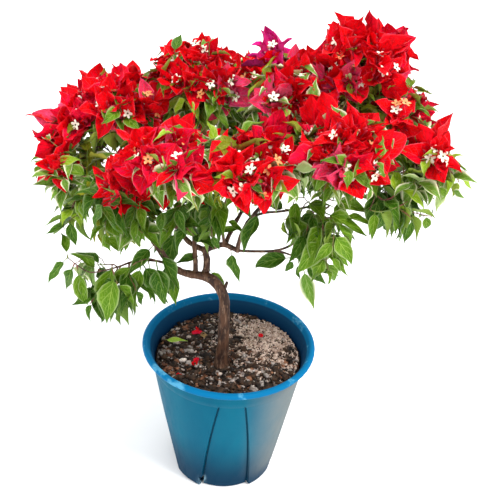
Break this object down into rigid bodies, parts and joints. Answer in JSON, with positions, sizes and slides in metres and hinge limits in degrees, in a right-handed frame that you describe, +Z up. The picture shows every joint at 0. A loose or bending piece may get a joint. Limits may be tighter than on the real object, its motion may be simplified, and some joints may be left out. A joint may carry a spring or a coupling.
{
  "type": "potted bougainvillea bush",
  "caption": "Small spreading bush with papery red flower bracts over green leaves, on a short crooked trunk, growing in a tapered nursery pot.",
  "frame": {"origin": "centre of the pot's flat underside, on the surface it stands on", "axes": "+Z up the plant; -Y towards the front; +X to the right"},
  "size_m": [0.4268, 0.3246, 0.5398],
  "materials": {
    "pot_plastic": "moulded, matte, weathered",
    "potting_mix": "loose bark chips and grit",
    "bark": "rough bark",
    "leaves": "soft leaf",
    "bracts": "papery bract",
    "florets": "small waxy flower"
  },
  "bodies": {
    "root": {"pot": "pot_plastic", "soil": "potting_mix", "trunk": "bark", "bough_back": "bark", "bough_centre": "bark", "bough_crossing": "bark", "bough_left": "bark", "bough_low_left": "bark", "bough_low_right": "bark", "bough_low_spray": "bark", "bough_mid_left": "bark", "bough_mid_right": "bark", "bough_rising": "bark", "bough_thin_right": "bark", "bough_upright": "bark", "mass_back_left": "bracts", "mass_back_middle": "bracts", "mass_back_right": "bracts", "mass_front_centre": "bracts", "mass_front_left": "bracts", "mass_front_right": "bracts", "mass_hanging_back_left": "leaves", "mass_hanging_back_right": "leaves", "mass_hanging_inner": "leaves", "mass_hanging_left": "leaves", "mass_hanging_middle": "leaves", "mass_hanging_right": "leaves", "mass_hanging_tip_left": "leaves", "mass_heart": "bracts", "mass_low_left": "bracts", "mass_low_spray": "leaves", "mass_shoulder_left": "bracts", "mass_shoulder_right": "bracts", "mass_tip_left": "bracts", "mass_tip_right": "bracts", "mass_top_left": "bracts", "mass_top_middle": "bracts", "mass_top_right": "bracts"}
  },
  "joints": []
}
